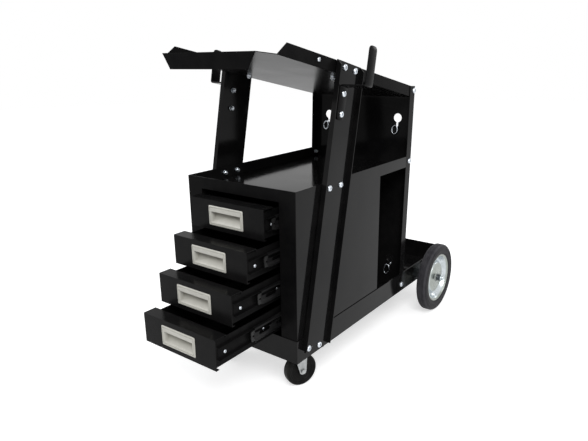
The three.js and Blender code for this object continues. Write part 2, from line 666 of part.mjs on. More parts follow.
// Swivel caster: a plate under the base tray, a trailing fork that turns on it, a pin and a wheel.
function caster(cart, name, side) {
  const frame = group(cart, side * CASTER_X, CASTER_Y, 0);
  const plateTop = BASE_BOTTOM - GAP;
  const plateBottom = plateTop - CASTER_STEEL;
  const halfPlate = CASTER_PLATE / 2;
  const plate = block([-halfPlate, halfPlate], [-halfPlate, halfPlate], [plateBottom, plateTop]);
  add(frame, `caster_plate_${name}`, plate, zinc);

  const swivel = group(frame, 0, 0, 0);
  swivel.rotation.z = -CASTER_TURN;
  const wheelZ = CASTER_DIA / 2;
  const pin = CASTER_PIN_DIA / 2;
  const bore = pin + GAP;
  const crownBottom = CASTER_DIA + CASTER_ROOM;
  const crownTop = crownBottom + CASTER_STEEL;
  const legInner = CASTER_HUB / 2 + CASTER_LEG_PLAY;
  const legOuter = legInner + CASTER_STEEL;
  const crown = block([-legOuter, legOuter], [-CASTER_CROWN_FRONT, CASTER_CROWN_REAR], [crownBottom, crownTop]);
  const cup = extrude(circle([0, 0], CASTER_CUP_DIA / 2), "z", [crownTop - SEAM, plateBottom - GAP]);
  const leg = new THREE.Shape();
  leg.moveTo(CASTER_CROWN_REAR, crownTop);
  leg.lineTo(CASTER_LEG_FRONT, crownTop);
  leg.lineTo(CASTER_TRAIL - CASTER_TIP_RADIUS, wheelZ);
  leg.absarc(CASTER_TRAIL, wheelZ, CASTER_TIP_RADIUS, Math.PI, 2 * Math.PI, false);
  const legs = SIDES.map(([, out]) => extrude(leg, "x", span(out * legInner, out * legOuter)));
  const hole = extrude(circle([CASTER_TRAIL, wheelZ], bore), "x", [-CASTER_DIA, CASTER_DIA]);
  add(swivel, `caster_fork_${name}`, cut(join(crown, cup, ...legs), hole), zinc);

  const axle = group(swivel, 0, CASTER_TRAIL, wheelZ);
  const headStart = legOuter + GAP;
  const headEnd = headStart + CASTER_PIN_HEAD_LENGTH;
  const head = CASTER_PIN_HEAD / 2;
  const pinProfile = [
    [0, -headEnd],
    [head, -headEnd],
    [head, -headStart],
    [pin, -headStart],
    [pin, headStart],
    [head, headStart],
    [head, headEnd],
    [0, headEnd],
  ];
  add(axle, `caster_pin_${name}`, turned(pinProfile, SMALL_STEPS), zinc);
  const half = CASTER_WIDTH / 2;
  const hub = CASTER_HUB / 2;
  const disc = CASTER_DISC_HALF;
  const hubRadius = CASTER_HUB_DIA / 2;
  const band = wheelZ - CASTER_TYRE;
  const halfProfile = [
    [wheelZ, half - CASTER_SHOULDER],
    [wheelZ - CASTER_SHOULDER, half],
    [band, half],
    [band, disc],
    [hubRadius, disc],
    [hubRadius, hub],
    [bore, hub],
  ];
  const otherHalf = halfProfile.map(([radius, along]) => [radius, -along]).reverse();
  const wheelProfile = [...otherHalf, ...halfProfile];
  add(axle, `caster_wheel_${name}`, turned(wheelProfile, CASTER_STEPS), rubber);
}

// A chain as a plain round bar along its route, with a ring at each end ahead of the panel.
function chain(parent, name, halfRoute) {
  const mirrored = halfRoute.slice(0, -1).reverse().map(([x, y, z]) => [-x, y, z]);
  const route = [...halfRoute, ...mirrored].map(([x, y, z]) => new THREE.Vector3(x, y, z));
  const settings = {
    steps: CHAIN_STEPS,
    extrudePath: new THREE.CatmullRomCurve3(route),
    curveSegments: ARC_STEPS / 2,
  };
  const bar = new THREE.ExtrudeGeometry(circle([0, 0], CHAIN_DIA / 2), settings);
  const [, endY, endZ] = halfRoute[0];
  const rings = SIDES.map(([, side]) => {
    const ring = new THREE.TorusGeometry(RING_RADIUS, RING_WIRE, ...RING_STEPS).rotateX(Math.PI / 2);
    return ring.translate(side * KEYHOLE_X, endY + RING_WIRE, endZ - RING_RADIUS);
  });
  add(parent, name, join(bar, ...rings), zinc);
}

// The upper chain hangs behind the panel; the lower one drops to the base tray and lies there.
function chains(cart) {
  const panel = group(cart, 0, PANEL_Y, PANEL_Z);
  panel.rotation.x = -PANEL_LEAN;
  const through = (height) => [
    [-KEYHOLE_X, -CHAIN_END, height],
    [-KEYHOLE_X, 0, height],
    [-KEYHOLE_X, CHAIN_STANDOFF / 2, height],
  ];
  const [high, low] = KEYHOLE_HEIGHTS.map((height) => height - KEYHOLE_DROP);
  const hang = CHAIN_SAG * Math.cosh(KEYHOLE_X / CHAIN_SAG);
  const halfLength = CHAIN_SAG * Math.sinh(KEYHOLE_X / CHAIN_SAG);
  const hanging = through(high);
  for (let i = 1; i <= CHAIN_POINTS; i++) {
    const x = CHAIN_SAG * Math.asinh((-halfLength * (1 - i / CHAIN_POINTS)) / CHAIN_SAG);
    hanging.push([x, CHAIN_STANDOFF, high - hang + CHAIN_SAG * Math.cosh(x / CHAIN_SAG)]);
  }
  chain(panel, "upper_chain", hanging);

  const flat = group(cart, 0, panelAt(PANEL_Z + low, 0), PANEL_Z);
  const rest = CHAIN_DIA / 2 + GAP;
  const [aside, away] = CHAIN_FALL;
  const lying = [
    ...through(low),
    [-KEYHOLE_X - aside / 2, CHAIN_STANDOFF, low - CHAIN_STANDOFF],
    [-KEYHOLE_X - aside, (CHAIN_STANDOFF + away) / 2, low / 2],
    [-KEYHOLE_X - aside, away, 2 * rest],
    ...CHAIN_LAY.map(([x, y]) => [x, y, rest]),
  ];
  chain(flat, "lower_chain", lying);
}

// Front-most and rear-most points, which set the middle of the bounding box.
const frontMost = Math.min(-Math.max(...DRAWER_OPEN) - PULL_PROUD, TRAY_Y - TRAY_FRONT);
const rearMost = Math.max(BASE_LENGTH, AXLE_Y + WHEEL_DIA / 2);

const cart = new THREE.Group();
cart.position.y = -(frontMost + rearMost) / 2;
baseTray(cart);
cabinetSides(cart);
cabinetFrame(cart);
shelfTray(cart);
rearPanel(cart);
topTray(cart);
for (const [name, side] of SIDES) {
  post(cart, name, side);
  caster(cart, name, side);
}
DRAWER_OPEN.forEach((open, index) => drawer(cart, index + 1, open));
rearWheels(cart);
chains(cart);

const model = new THREE.Group();
model.add(cart);

export default model;
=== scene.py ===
"""Looks of a welding cart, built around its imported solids. Sizes are in millimetres, objects in metres."""

import math

import bmesh
import bpy
from mathutils import Matrix, Vector


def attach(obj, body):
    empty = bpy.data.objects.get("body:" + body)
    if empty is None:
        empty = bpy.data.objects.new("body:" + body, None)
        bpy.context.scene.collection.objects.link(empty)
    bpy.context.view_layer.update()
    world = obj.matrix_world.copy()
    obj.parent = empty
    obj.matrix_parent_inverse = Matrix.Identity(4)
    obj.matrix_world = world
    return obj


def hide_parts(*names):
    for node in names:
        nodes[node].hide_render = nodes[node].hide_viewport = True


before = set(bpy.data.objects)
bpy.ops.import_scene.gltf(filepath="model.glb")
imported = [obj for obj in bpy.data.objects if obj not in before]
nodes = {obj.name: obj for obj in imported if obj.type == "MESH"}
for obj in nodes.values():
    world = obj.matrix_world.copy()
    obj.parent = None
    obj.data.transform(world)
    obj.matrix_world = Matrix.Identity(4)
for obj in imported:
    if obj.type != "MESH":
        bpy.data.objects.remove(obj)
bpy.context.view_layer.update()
scene = bpy.context.scene
scene.view_settings.view_transform = "Standard"

MM = 0.001
TURN = 2 * math.pi
GAP = 0.3  # between pieces that touch
SIDES = (("left", -1), ("right", 1))

# Camera, fitted to the photograph
CAMERA_PLACE = (0.82075, -1.16769, 0.74729)
CAMERA_RIGHT = (0.79582, 0.60539, -0.01344)
CAMERA_FORWARD = (-0.58393, 0.76136, -0.28169)
CAMERA_LENS = 33.877
SENSOR_WIDTH = 36

# Drawers, listed from the top one down
DRAWERS = 4
DRAWER_OPEN = (40, 97, 146, 196)
DRAWER_PITCH = 76
LOWEST_FRONT = 154  # lower edge of the lowest front
FRONT_BASES = [LOWEST_FRONT + DRAWER_PITCH * k for k in reversed(range(DRAWERS))]
FRONT_Y = -301  # face of a closed front
BOX_HALF = 102  # from the middle of the cart to the side of a drawer box

# Faces on each side, from the middle of the cart, and steel that lies on them
SHELL_HALF = 158.2  # outside of the cabinet and of the rear panel's flanges
BASE_HALF = 160  # outside of the base tray
BASE_INSIDE = 156.7
NUT_FACE = 154.9  # inside of the flanges that carry a nut
POST_STEEL = 2
POST_INNER = 160.3
POST_FACE = POST_INNER + POST_STEEL
HOOK_STEEL = 3

# Leaning pieces: (y, z) of each one's own origin, and its lean
POST_ORIGIN = (-158, 472)
POST_LEAN = math.radians(12)
PANEL_ORIGIN = (215, 94.8)
PANEL_LEAN = math.radians(2)
TRAY_ORIGIN = (-107.893, 707.734)
TRAY_PITCH = math.radians(11)

# Wheels and casters
WHEEL_RADIUS = 101.5
WHEEL_X = 203
WHEEL_Y = 339
HUB_HALF = 20
CASTER_TURN = math.radians(23)
CASTER_X = 110
CASTER_Y = -263
CASTER_TRAIL = 26
CASTER_RADIUS = 40


def make_camera():
    data = bpy.data.cameras.new("camera")
    data.sensor_width = SENSOR_WIDTH
    data.lens = CAMERA_LENS
    camera = bpy.data.objects.new("camera", data)
    right = Vector(CAMERA_RIGHT).normalized()
    back = -Vector(CAMERA_FORWARD).normalized()
    up = back.cross(right)
    turn = Matrix((right, up, back)).transposed()
    camera.matrix_world = Matrix.LocRotScale(Vector(CAMERA_PLACE), turn, None)
    scene.collection.objects.link(camera)
    scene.camera = camera


# Shader helpers

IOR = 1.5


def add_node(tree, kind, inputs=None, **settings):
    made = tree.nodes.new(kind)
    for key, value in settings.items():
        setattr(made, key, value)
    for key, value in (inputs or {}).items():
        if isinstance(value, bpy.types.NodeSocket):
            tree.links.new(value, made.inputs[key])
        else:
            made.inputs[key].default_value = value
    return made


def principled(name, metallic=0.0, specular=0.5):
    material = bpy.data.materials.new(name)
    material.use_nodes = True
    tree = material.node_tree
    shader = tree.nodes["Principled BSDF"]
    shader.inputs["Metallic"].default_value = metallic
    shader.inputs["IOR"].default_value = IOR
    shader.inputs["Specular IOR Level"].default_value = specular
    return material, tree, shader


def object_place(tree):
    return add_node(tree, "ShaderNodeTexCoord").outputs["Object"]


def noise(tree, place, scale, detail, stretch=None):
    if stretch:
        place = add_node(tree, "ShaderNodeMapping", {"Vector": place, "Scale": stretch}).outputs[0]
    made = add_node(tree, "ShaderNodeTexNoise", {"Vector": place, "Scale": scale, "Detail": detail})
    return made.outputs["Fac"]


def ramp(tree, value, stops):
    """Colour by value, from stops of (position, colour)."""
    made = add_node(tree, "ShaderNodeValToRGB", {"Fac": value})
    elements = made.color_ramp.elements
    while len(elements) < len(stops):
        elements.new(0.5)
    for element, (position, colour) in zip(elements, stops):
        element.position = position
        element.color = (*colour, 1)
    return made.outputs["Color"]


def span_map(tree, value, low, high, start=0.0, end=1.0):
    """Low to high as the value goes from start to end."""
    inputs = {"Value": value, "From Min": start, "From Max": end, "To Min": low, "To Max": high}
    return add_node(tree, "ShaderNodeMapRange", inputs).outputs["Result"]


def mix(tree, share, first, second):
    """Blend of two colours, through the node's own colour sockets."""
    made = add_node(tree, "ShaderNodeMix", data_type="RGBA")
    for socket, value in zip((made.inputs[0], made.inputs[6], made.inputs[7]), (share, first, second)):
        tree.links.new(value, socket)
    return made.outputs[2]


def bump(tree, height, distance, under=None):
    inputs = {"Height": height, "Distance": distance, "Strength": 1.0}
    if under:
        inputs["Normal"] = under
    return add_node(tree, "ShaderNodeBump", inputs).outputs["Normal"]


def around_x(tree, place):
    """Distance from the x axis, and the place along it."""
    parts = add_node(tree, "ShaderNodeSeparateXYZ", {"Vector": place})
    flat = add_node(tree, "ShaderNodeCombineXYZ", {"Y": parts.outputs["Y"], "Z": parts.outputs["Z"]})
    radius = add_node(tree, "ShaderNodeVectorMath", {"Vector": flat.outputs[0]}, operation="LENGTH")
    return radius.outputs["Value"], parts.outputs["X"]


# Materials: noise scales are per metre, bump distances and radii in metres

COAT_TONES = ((0.0035, 0.0035, 0.0037), (0.0055, 0.0054, 0.0055), (0.0075, 0.0072, 0.0072))
RUBBED_STEEL = [(0.4, (0.005, 0.005, 0.0052)), (0.62, (0.01, 0.0098, 0.01)), (0.8, (0.036, 0.035, 0.036))]
# Wheel tones by zone: the wall's lighter tone against the disc is painted reflection, the hub's dark tone is
# painted shade.
WHEEL_DISC = [(0.3, (0.25, 0.27, 0.25)), (0.7, (0.32, 0.345, 0.32))]
WHEEL_WALL_PAINTED_SHEEN = [(0.3, (0.47, 0.51, 0.53)), (0.7, (0.62, 0.66, 0.68))]
WHEEL_HUB_PAINTED_SHADE = [(0.3, (0.07, 0.075, 0.08)), (0.7, (0.12, 0.13, 0.135))]
# Radii over which one tone of the wheel gives way to the next
HUB_EDGE = (0.0105, 0.0145)
DISC_EDGE = (0.0425, 0.046)
WALL_EDGE = (0.064, 0.0665)
TREAD_BLEND = 0.0025
# Depths along y over which a recess is painted darker, as painted shade
RECESS_SHADE_DEPTHS = (0.0005, 0.0095)


def coat_black(name, rough, specular):
    """Powder coat: deep black with orange peel, a slightly wavy sheet and a trace of dust in patches."""
    material, tree, shader = principled(name, specular=specular)
    place = object_place(tree)
    dark, pale, hazy = COAT_TONES
    dust = noise(tree, place, 38, 6)
    clean = ramp(tree, dust, [(0.35, dark), (0.7, pale)])
    veil = ramp(tree, dust, [(0.35, pale), (0.7, hazy)])
    patches = span_map(tree, noise(tree, place, 5, 3), 0, 1, 0.35, 0.65)
    tree.links.new(mix(tree, patches, clean, veil), shader.inputs["Base Color"])
    cloud = noise(tree, place, 14, 4)
    tree.links.new(span_map(tree, cloud, *rough), shader.inputs["Roughness"])
    wave = bump(tree, noise(tree, place, 7, 1), 0.0009)
    peel = bump(tree, noise(tree, place, 520, 1), 0.000012, wave)
    tree.links.new(peel, shader.inputs["Normal"])
    return material


def slide_black(name):
    """Blackened steel of the slides, duller than the coat, rubbed brighter in streaks along the run."""
    material, tree, shader = principled(name, specular=0.1)
    place = object_place(tree)
    streak = noise(tree, place, 60, 4, (6, 0.25, 6))
    tree.links.new(ramp(tree, streak, RUBBED_STEEL), shader.inputs["Base Color"])
    tree.links.new(span_map(tree, streak, 0.22, 0.5), shader.inputs["Roughness"])
    tree.links.new(bump(tree, noise(tree, place, 700, 2), 0.00002), shader.inputs["Normal"])
    return material


def bright_zinc(name, low, high, rough):
    """Zinc plate: cloudy tone, fine crystalline grain and uneven gloss."""
    material, tree, shader = principled(name, metallic=1.0)
    place = object_place(tree)
    cloud = noise(tree, place, 120, 5)
    tree.links.new(ramp(tree, cloud, [(0.3, low), (0.7, high)]), shader.inputs["Base Color"])
    tree.links.new(span_map(tree, cloud, *rough), shader.inputs["Roughness"])
    tree.links.new(bump(tree, noise(tree, place, 1500, 2), 0.00001), shader.inputs["Normal"])
    return material


def wheel_plate(name):
    """Pressed and plated wheel: rings from the spinning tool around the hub over cloudy zinc, with tones by
    radius that paint light and shade: a channel wall lighter than the disc as painted reflection, and a dark
    hub as painted shade.
    """
    material, tree, shader = principled(name, metallic=1.0)
    place = object_place(tree)
    radius, axial = around_x(tree, place)
    along = add_node(tree, "ShaderNodeCombineXYZ", {"X": radius, "Y": axial})
    rings = noise(tree, along.outputs[0], 900, 3)
    cloud = noise(tree, place, 45, 5)
    disc, wall, hub = (ramp(tree, cloud, stops) for stops in (WHEEL_DISC, WHEEL_WALL_PAINTED_SHEEN, WHEEL_HUB_PAINTED_SHADE))
    # Painted reflection and shade: the channel wall lighter than the disc, the hub dark.
    colour = mix(tree, span_map(tree, radius, 0, 1, *DISC_EDGE), disc, wall)
    colour = mix(tree, span_map(tree, radius, 0, 1, *WALL_EDGE), colour, disc)
    colour = mix(tree, span_map(tree, radius, 0, 1, *HUB_EDGE), hub, colour)
    tree.links.new(colour, shader.inputs["Base Color"])
    tree.links.new(span_map(tree, rings, 0.2, 0.38), shader.inputs["Roughness"])
    tree.links.new(bump(tree, rings, 0.00003), shader.inputs["Normal"])
    return material


def rubber(name, side, tread, edge, scale, rough, specular):
    """Rubber with a fine skin, dusty in patches; the tread beyond the edge's radius has its own tones."""
    material, tree, shader = principled(name, specular=specular)
    place = object_place(tree)
    dust = noise(tree, place, scale, 6)
    sides, treads = (ramp(tree, dust, [(0.35, dark), (0.75, pale)]) for dark, pale in (side, tread))
    radius, _ = around_x(tree, place)
    worn = span_map(tree, radius, 0, 1, edge - TREAD_BLEND, edge)
    tree.links.new(mix(tree, worn, sides, treads), shader.inputs["Base Color"])
    tree.links.new(span_map(tree, dust, *rough), shader.inputs["Roughness"])
    tree.links.new(bump(tree, noise(tree, place, 1800, 2), 0.00003), shader.inputs["Normal"])
    return material


def moulded(name, low, high, rough, deep=None, specular=0.5):
    """Moulded plastic: faint mottling and a fine matt grain, with painted shade that greys the colour deep
    down in a recess along y.
    """
    material, tree, shader = principled(name, specular=specular)
    place = object_place(tree)
    mottle = noise(tree, place, 70, 4)
    colour = ramp(tree, mottle, [(0.3, low), (0.7, high)])
    # Painted shade: the colour moves towards the deep tone with depth into the recess, along y.
    if deep:
        depth = add_node(tree, "ShaderNodeSeparateXYZ", {"Vector": place}).outputs["Y"]
        down = span_map(tree, depth, 0, 1, *RECESS_SHADE_DEPTHS)
        colour = mix(tree, down, colour, ramp(tree, mottle, [(0.3, deep), (0.7, deep)]))
    tree.links.new(colour, shader.inputs["Base Color"])
    tree.links.new(span_map(tree, mottle, *rough), shader.inputs["Roughness"])
    tree.links.new(bump(tree, noise(tree, place, 1400, 2), 0.00002), shader.inputs["Normal"])
    return material


# Coats by name, range of roughness and specular level. They are copies of one powder coat; their lower
# specular levels make some parts render darker, as painted shade.
COAT = coat_black("gloss_black", (0.06, 0.15), 0.095)
DIMMED_COAT = coat_black("dimmed_black", (0.07, 0.16), 0.048)
TRAY_COAT = coat_black("tray_black", (0.23, 0.29), 0.02)
FRONT_COAT = coat_black("front_black", (0.16, 0.28), 0.045)
BOX_COAT = coat_black("satin_black", (0.24, 0.42), 0.02)
SLIDE = slide_black("slide_black")
ZINC = bright_zinc("zinc", (0.44, 0.49, 0.51), (0.58, 0.64, 0.66), (0.22, 0.42))
FORK = bright_zinc("fork_zinc", (0.3, 0.31, 0.31), (0.42, 0.43, 0.43), (0.3, 0.5))
BOLT = bright_zinc("bolt_zinc", (0.5, 0.53, 0.57), (0.68, 0.72, 0.76), (0.2, 0.36))
PLATE = wheel_plate("wheel_zinc")
TYRE_TONES = ((0.014, 0.0135, 0.015), (0.03, 0.029, 0.032))
TREAD_TONES = ((0.036, 0.035, 0.04), (0.06, 0.058, 0.064))
TYRE = rubber("tyre_rubber", TYRE_TONES, TREAD_TONES, 0.0985, 55, (0.5, 0.7), 0.12)
CASTER_TONES = ((0.005, 0.005, 0.005), (0.012, 0.0118, 0.011))
CASTER_TREAD = ((0.01, 0.0098, 0.009), (0.022, 0.021, 0.019))
CASTER = rubber("caster_rubber", CASTER_TONES, CASTER_TREAD, 0.0385, 70, (0.32, 0.5), 0.06)
# The pull's last tone is painted shade, deep down in its pocket.
PULL = moulded("pull_plastic", (0.45, 0.442, 0.4), (0.5, 0.492, 0.445), (0.38, 0.5), (0.19, 0.18, 0.145))
LEVER = moulded("lever_plastic", (0.007, 0.007, 0.007), (0.013, 0.013, 0.013), (0.35, 0.5), specular=0.25)


# Floor, world and lamps, in metres

EYE_RAYS = ("Is Camera Ray", "Is Glossy Ray", "Is Transmission Ray")
FLOOR_RADIUS = 9.0
FLOOR_STEPS = 96
FLOOR_DROP = 0.0004
FLOOR_TONE = (0.72, 0.72, 0.72, 1)
# What the floor adds for those rays, by share of the reach from the middle of the cart
FLOOR_GLOW = [(0.1, (0.6, 0.6, 0.6)), (0.32, (0.7, 0.7, 0.7))]
GLOW_REACH = 4.0
WORLD_TINT = (0.97, 0.98, 1.0, 1)
WORLD_LIGHT = 0.5
LAMP_AIM = (0, 0, 0.35)
# Name, place, size and power of each lamp
LAMPS = (
    ("key_lamp", (1.6, -1.9, 2.6), 1.4, 60),
    ("fill_lamp", (-2.2, -1.2, 2.2), 1.8, 30),
    ("back_lamp", (1.13, 3.23, 1.57), 1.1, 12),
    ("side_lamp", (3.3, 0.9, 1.25), 1.5, 20),
)


def light_path(tree, first, *others):
    """1 for the named rays, 0 for the rest."""
    path = add_node(tree, "ShaderNodeLightPath")
    value = path.outputs[first]
    for ray in others:
        inputs = {0: value, 1: path.outputs[ray]}
        value = add_node(tree, "ShaderNodeMath", inputs, operation="MAXIMUM").outputs[0]
    return value


def make_floor():
    """Pale floor that keeps the cart's shadow and glows up to white for the camera and in reflections."""
    bm = bmesh.new()
    bmesh.ops.create_circle(bm, cap_ends=True, segments=FLOOR_STEPS, radius=FLOOR_RADIUS)
    bmesh.ops.translate(bm, verts=bm.verts, vec=(0, 0, -FLOOR_DROP))
    mesh = bpy.data.meshes.new("floor")
    bm.to_mesh(mesh)
    bm.free()
    floor = bpy.data.objects.new("floor", mesh)
    scene.collection.objects.link(floor)
    material = bpy.data.materials.new("floor")
    material.use_nodes = True
    tree = material.node_tree
    tree.nodes.remove(tree.nodes["Principled BSDF"])
    away = add_node(tree, "ShaderNodeVectorMath", {"Vector": object_place(tree)}, operation="LENGTH")
    share = span_map(tree, away.outputs["Value"], 0, 1, 0, GLOW_REACH)
    glow = add_node(tree, "ShaderNodeEmission", {"Color": ramp(tree, share, FLOOR_GLOW)}).outputs[0]
    plain = add_node(tree, "ShaderNodeBsdfDiffuse", {"Color": FLOOR_TONE}).outputs[0]
    bright = add_node(tree, "ShaderNodeAddShader", {0: plain, 1: glow}).outputs[0]
    eye = light_path(tree, *EYE_RAYS)
    last = add_node(tree, "ShaderNodeMixShader", {"Fac": eye, 1: plain, 2: bright})
    tree.links.new(last.outputs[0], tree.nodes["Material Output"].inputs["Surface"])
    mesh.materials.append(material)


def make_world():
    """White for the camera and in reflections, a plain soft light for everything else."""
    world = bpy.data.worlds.new("world")
    scene.world = world
    world.use_nodes = True
    tree = world.node_tree
    plain = tree.nodes["Background"]
    plain.inputs["Color"].default_value = WORLD_TINT
    plain.inputs["Strength"].default_value = WORLD_LIGHT
    white = add_node(tree, "ShaderNodeBackground", {"Color": (1, 1, 1, 1), "Strength": 1.0})
    eye = light_path(tree, *EYE_RAYS)
    last = add_node(tree, "ShaderNodeMixShader", {"Fac": eye, 1: plain.outputs[0], 2: white.outputs[0]})
    tree.links.new(last.outputs[0], tree.nodes["World Output"].inputs["Surface"])


def make_lamp(name, place, size, power):
    data = bpy.data.lights.new(name, "AREA")
    data.shape = "DISK"
    data.size = size
    data.energy = power
    lamp = bpy.data.objects.new(name, data)
    lamp.location = place
    lamp.rotation_euler = (Vector(LAMP_AIM) - Vector(place)).to_track_quat("-Z", "Y").to_euler()
    scene.collection.objects.link(lamp)


# Mesh helpers

SAME_POINT = 1e-7
SHARP = 38  # degrees between faces from which an edge stays sharp


def mesh_of(name, bm, material, sharp=SHARP):
    bmesh.ops.remove_doubles(bm, verts=bm.verts, dist=SAME_POINT)
    bmesh.ops.recalc_face_normals(bm, faces=bm.faces)
    mesh = bpy.data.meshes.new(name)
    bm.to_mesh(mesh)
    bm.free()
    mesh.shade_smooth()
    mesh.set_sharp_from_angle(angle=math.radians(sharp))
    mesh.materials.append(material)
    return mesh


def put(name, mesh, material, body, *replaced, place=None):
    """A mesh as a named piece that moves with a body and may stand in for solids."""
    made = bpy.data.objects.new(name, mesh)
    scene.collection.objects.link(made)
    if place:
        made.matrix_world = place
    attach(made, body)
    if replaced:
        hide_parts(*replaced)


def piece(name, bm, material, body, *replaced, place=None):
    put(name, mesh_of(name, bm, material), material, body, *replaced, place=place)


def at(x, y, z):
    return Matrix.Translation((x * MM, y * MM, z * MM))


def toward(place, axis):
    """A frame whose x axis points along an axis."""
    turn = Vector((1, 0, 0)).rotation_difference(Vector(axis))
    return Matrix.LocRotScale(Vector(place) * MM, turn, None)


def leaning(origin, lean, along, up):
    """(y, z) of a point that is given along and up a leaning piece."""
    c, s = math.cos(lean), math.sin(lean)
    return origin[0] + c * along + s * up, origin[1] - s * along + c * up


def post_point(along, up):
    return leaning(POST_ORIGIN, POST_LEAN, along, up)


def panel_point(x, y, z):
    return Vector((x, *leaning(PANEL_ORIGIN, PANEL_LEAN, y, z)))


def soften(corners, steps=4, closed=True):
    """Corners as (a, b) or (a, b, radius); each radius becomes an arc."""
    points = []
    count = len(corners)
    for i, corner in enumerate(corners):
        here = Vector(corner[:2])
        radius = corner[2] if len(corner) > 2 else 0
        if not radius or (not closed and i in (0, count - 1)):
            points.append(tuple(here))
            continue
        before = (Vector(corners[i - 1][:2]) - here).normalized()
        after = (Vector(corners[(i + 1) % count][:2]) - here).normalized()
        angle = before.angle(after)
        centre = here + (before + after).normalized() * (radius / math.sin(angle / 2))
        first = here + before * (radius / math.tan(angle / 2)) - centre
        way = 1 if first.x * before.y - first.y * before.x < 0 else -1
        for k in range(steps + 1):
            turn = way * (math.pi - angle) * k / steps
            c, s = math.cos(turn), math.sin(turn)
            points.append((centre.x + c * first.x - s * first.y, centre.y + s * first.x + c * first.y))
    return points


def rounded_box(half, low, high, radius, steps=5):
    """Loop of points round a rectangle with rounded corners."""
    corners = [(-half, low, radius), (half, low, radius), (half, high, radius), (-half, high, radius)]
    return soften(corners, steps)


def slot_loop(half_length, half_width, steps=6):
    """Loop of (a, b) points round a slot with round ends, long along a."""
    straight = half_length - half_width
    points = []
    for end in (1, -1):
        for k in range(steps + 1):
            t = -math.pi / 2 + math.pi * k / steps
            points.append((end * (straight + half_width * math.cos(t)), end * half_width * math.sin(t)))
    return points


def mirrored(half):
    """A (radius, along) profile from its half, which starts in the middle."""
    other = [(radius, -along) for radius, along in half[1:]]
    return list(reversed(other)) + half


def skin(bm, loops, closed=False):
    """Quads between loops of points, each loop as long as the next; a loop of one point makes a fan."""
    rows = [[bm.verts.new(Vector(p) * MM) for p in loop] for loop in loops]
    pairs = list(zip(rows, rows[1:]))
    if closed:
        pairs.append((rows[-1], rows[0]))
    for a, b in pairs:
        count = max(len(a), len(b))
        for k in range(count):
            j = (k + 1) % count
            corners = [a[k % len(a)], a[j % len(a)], b[j % len(b)], b[k % len(b)]]
            unique = list(dict.fromkeys(corners))
            if len(unique) > 2:
                bm.faces.new(unique)
    return rows


def closed_skin(bm, loops):
    """A skin with a face over its first and its last loop."""
    rows = skin(bm, loops)
    bm.faces.new(rows[0])
    bm.faces.new(rows[-1])


def lathe(bm, profile, steps, closed=True):
    """A profile of (radius, along) points turned about the x axis."""
    angles = [TURN * k / steps for k in range(steps)]
    loops = []
    for radius, along in profile:
        if radius:
            loops.append([(along, radius * math.cos(t), radius * math.sin(t)) for t in angles])
        else:
            loops.append([(along, 0, 0)])
    skin(bm, loops, closed)


def wire(bm, points, radius, steps):
    """A round wire along a closed loop of points; each cross section's frame is carried along it."""
    count = len(points)
    angles = [TURN * k / steps for k in range(steps)]
    side = None
    loops = []
    for i, here in enumerate(points):
        ahead = (points[(i + 1) % count] - points[i - 1]).normalized()
        if side is None:
            side = ahead.orthogonal().normalized()
        side = (side - ahead * side.dot(ahead)).normalized()
        other = ahead.cross(side)
        loops.append([here + (side * math.cos(t) + other * math.sin(t)) * radius for t in angles])
    skin(bm, loops, closed=True)


def plate(bm, loops, sign, near, thick):
    """Flat plate across x with an outline and holes as loops of (y, z), from near outward."""
    rims = []
    for x in (near, near + thick):
        edges = []
        rows = []
        for loop in loops:
            verts = [bm.verts.new(Vector((sign * x, y, z)) * MM) for y, z in loop]
            edges += [bm.edges.new((verts[k - 1], verts[k])) for k in range(len(verts))]
            rows.append(verts)
        bmesh.ops.triangle_fill(bm, use_beauty=True, edges=edges)
        rims.append(rows)
    for inside, outside in zip(*rims):
        for k in range(len(inside)):
            bm.faces.new((inside[k - 1], inside[k], outside[k], outside[k - 1]))


# Solids that stay: materials and softened edges

EDGE_WIDTH = 0.55
EDGE_SEGMENTS = 2
EDGE_ANGLE = math.radians(40)
FLAT_ANGLE = math.radians(0.5)
SMOOTH_ANGLE = math.radians(30)


def soft_edges(node):
    flat = node.modifiers.new("flat", "DECIMATE")
    flat.decimate_type = "DISSOLVE"
    flat.angle_limit = FLAT_ANGLE
    edge = node.modifiers.new("edge", "BEVEL")
    edge.width = EDGE_WIDTH * MM
    edge.segments = EDGE_SEGMENTS
    edge.limit_method = "ANGLE"
    edge.angle_limit = EDGE_ANGLE
    edge.use_clamp_overlap = True
    edge.harden_normals = True


def dress(name, material):
    node = nodes[name]
    node.data.materials.clear()
    node.data.materials.append(material)
    for polygon in node.data.polygons:
        polygon.use_smooth = True
    node.data.set_sharp_from_angle(angle=SMOOTH_ANGLE)
    soft_edges(node)


def dress_solids():
    dress("base_tray", COAT)
    dress("top_tray", TRAY_COAT)
    dress("cabinet_front_frame", BOX_COAT)
    for name in ("cabinet_back", "shelf_tray", "rear_panel", "axle"):
        dress(name, DIMMED_COAT)
    for n in range(1, DRAWERS + 1):
        dress(f"drawer_front_{n}", FRONT_COAT)
        dress(f"drawer_box_{n}", BOX_COAT)
    for side, _ in SIDES:
        dress(f"cabinet_side_{side}", COAT)
        dress(f"post_{side}", COAT)
        dress(f"axle_spacer_{side}", ZINC)
        for kind in ("caster_plate", "caster_fork", "caster_pin"):
            dress(f"{kind}_{side}", FORK)
        for n in range(1, DRAWERS + 1):
            dress(f"slide_outer_{side}_{n}", SLIDE)


# Fasteners

